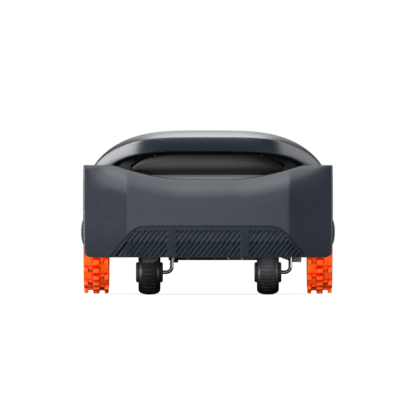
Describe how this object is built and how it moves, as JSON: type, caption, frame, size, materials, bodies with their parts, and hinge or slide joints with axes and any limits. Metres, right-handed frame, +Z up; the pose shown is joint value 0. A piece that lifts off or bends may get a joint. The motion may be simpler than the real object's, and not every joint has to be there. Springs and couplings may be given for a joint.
{
  "type": "robotic lawn mower",
  "caption": "Robotic lawn mower with lugged rear drive wheels, swivelling front casters, a floating front bumper and an adjustable blade disc under an arched hood.",
  "frame": {"origin": "on the ground below the middle of the body's box", "axes": "+X is the machine's left, its front faces -Y, +Z up"},
  "size_m": [0.465, 0.64, 0.297],
  "materials": {
    "battery": "moulded case",
    "black_plastic": "fine-grained moulded plastic",
    "black_rubber": "semi-gloss rubber",
    "board": "solder-masked board",
    "brass": "plated",
    "chrome": "bright bent rod",
    "display_glass": "display glass",
    "grille": "satin moulded plastic",
    "key_grey": "soft-touch plastic",
    "ledge": "satin moulded plastic",
    "lid": "satin gloss plastic",
    "light": "light pipe",
    "motor_can": "painted",
    "orange_plastic": "moulded plastic",
    "orange_rubber": "moulded rubber",
    "recess_black": "matte moulded plastic",
    "red": "gloss plastic",
    "screen": "dark mesh",
    "slate": "satin moulded plastic",
    "smoked_window": "smoked gloss plastic",
    "steel": "brushed",
    "yellow": "gloss plastic"
  },
  "bodies": {
    "chassis": {"chassis_tub": "black_plastic", "hood": "slate", "recess_bezel": "recess_black", "recess_ledge": "ledge", "camera_window": "smoked_window", "front_cameras": "black_plastic", "pin_lights": "light", "side_cover_left": "slate", "side_cover_right": "slate", "fender_left": "slate", "fender_right": "slate", "rear_cover": "black_plastic", "charging_contacts": "brass", "control_tray": "black_plastic", "display": "display_glass", "stop_bezel": "yellow", "antenna_cover": "black_plastic", "rain_sensor": "steel", "battery_tray": "steel", "battery_pack": "battery", "service_hatch": "black_plastic", "main_board": "board", "gear_motor_left": "motor_can", "gear_motor_right": "motor_can", "caster_bushing_left": "brass", "caster_bushing_right": "brass", "lift_frame": "steel", "lift_motor": "motor_can", "body_screws": "steel"},
    "bumper": {"front_bumper": "slate", "front_grille": "grille", "grille_screen": "screen", "bumper_pins": "steel"},
    "wheel_left": {"drive_tyre_left": "orange_rubber", "drive_rim_left": "black_plastic", "hub_cap_left": "motor_can", "drive_shaft_left": "steel"},
    "wheel_right": {"drive_tyre_right": "orange_rubber", "drive_rim_right": "black_plastic", "hub_cap_right": "motor_can", "drive_shaft_right": "steel"},
    "swivel_left": {"caster_rod_left": "chrome"},
    "swivel_right": {"caster_rod_right": "chrome"},
    "caster_left": {"caster_tyre_left": "black_rubber", "caster_hub_left": "black_plastic"},
    "caster_right": {"caster_tyre_right": "black_rubber", "caster_hub_right": "black_plastic"},
    "carriage": {"motor_carriage": "black_plastic", "blade_motor": "motor_can"},
    "lift_screw": {"lift_screw": "steel"},
    "disc": {"blade_disc": "orange_plastic"},
    "blade_a": {"blade_1": "steel"},
    "blade_b": {"blade_2": "steel"},
    "blade_c": {"blade_3": "steel"},
    "skid_plate": {"skid_plate": "black_plastic"},
    "lid": {"control_lid": "lid"},
    "stop": {"stop_button": "red"},
    "power_key": {"key_power": "red"},
    "home_key": {"key_home": "key_grey"},
    "start_key": {"key_start": "key_grey"}
  },
  "joints": [
    {"name": "bumper_press", "type": "slide", "parent": "chassis", "child": "bumper", "axis": [0, 1, 0], "range_m": [0, 0.004], "stiffness_N_per_m": 1500, "springref_m": -0.002},
    {"name": "left_wheel_spin", "type": "hinge", "parent": "chassis", "child": "wheel_left", "pos_m": [0.2, 0.199, 0.113], "axis": [1, 0, 0], "continuous": true},
    {"name": "right_wheel_spin", "type": "hinge", "parent": "chassis", "child": "wheel_right", "pos_m": [-0.2, 0.199, 0.113], "axis": [1, 0, 0], "continuous": true},
    {"name": "left_caster_swivel", "type": "hinge", "parent": "chassis", "child": "swivel_left", "pos_m": [0.107, -0.232, 0.14], "axis": [0, 0, 1], "continuous": true},
    {"name": "right_caster_swivel", "type": "hinge", "parent": "chassis", "child": "swivel_right", "pos_m": [-0.107, -0.232, 0.14], "axis": [0, 0, 1], "continuous": true},
    {"name": "left_caster_roll", "type": "hinge", "parent": "swivel_left", "child": "caster_left", "pos_m": [0.107, -0.207, 0.0405], "axis": [1, 0, 0], "continuous": true},
    {"name": "right_caster_roll", "type": "hinge", "parent": "swivel_right", "child": "caster_right", "pos_m": [-0.107, -0.207, 0.0405], "axis": [1, 0, 0], "continuous": true},
    {"name": "cutting_height", "type": "slide", "parent": "chassis", "child": "carriage", "axis": [0, 0, -1], "range_m": [0, 0.035]},
    {"name": "lift_screw_turn", "type": "hinge", "parent": "chassis", "child": "lift_screw", "pos_m": [0, 0.024, 0.15], "axis": [0, 0, 1], "range_deg": [0, 1270]},
    {"name": "blade_disc_spin", "type": "hinge", "parent": "carriage", "child": "disc", "pos_m": [0, -0.028, 0.08], "axis": [0, 0, 1], "continuous": true},
    {"name": "skid_plate_spin", "type": "hinge", "parent": "disc", "child": "skid_plate", "pos_m": [0, -0.028, 0.073], "axis": [0, 0, 1], "continuous": true},
    {"name": "blade_a_swing", "type": "hinge", "parent": "disc", "child": "blade_a", "pos_m": [0.078, -0.028, 0.0789], "axis": [0, 0, 1], "continuous": true},
    {"name": "blade_b_swing", "type": "hinge", "parent": "disc", "child": "blade_b", "pos_m": [-0.039, 0.03955, 0.0789], "axis": [0, 0, 1], "continuous": true},
    {"name": "blade_c_swing", "type": "hinge", "parent": "disc", "child": "blade_c", "pos_m": [-0.039, -0.09555, 0.0789], "axis": [0, 0, 1], "continuous": true},
    {"name": "lid_hinge", "type": "hinge", "parent": "chassis", "child": "lid", "pos_m": [0, -0.01296, 0.28882], "axis": [1, 0, 0], "range_deg": [0, 105]},
    {"name": "stop_press", "type": "slide", "parent": "chassis", "child": "stop", "axis": [0, -0.1727, -0.985], "range_m": [0, 0.004], "stiffness_N_per_m": 500, "springref_m": -0.002},
    {"name": "power_key_press", "type": "slide", "parent": "chassis", "child": "power_key", "axis": [0, -0.1091, -0.994], "range_m": [0, 0.0015], "stiffness_N_per_m": 300, "springref_m": -0.001},
    {"name": "home_key_press", "type": "slide", "parent": "chassis", "child": "home_key", "axis": [0, -0.1091, -0.994], "range_m": [0, 0.0015], "stiffness_N_per_m": 300, "springref_m": -0.001},
    {"name": "start_key_press", "type": "slide", "parent": "chassis", "child": "start_key", "axis": [0, -0.1091, -0.994], "range_m": [0, 0.0015], "stiffness_N_per_m": 300, "springref_m": -0.001}
  ],
  "couplings": [
    {"joint": "lift_screw_turn", "follows": "cutting_height", "rad_per_m": 628.32}
  ]
}
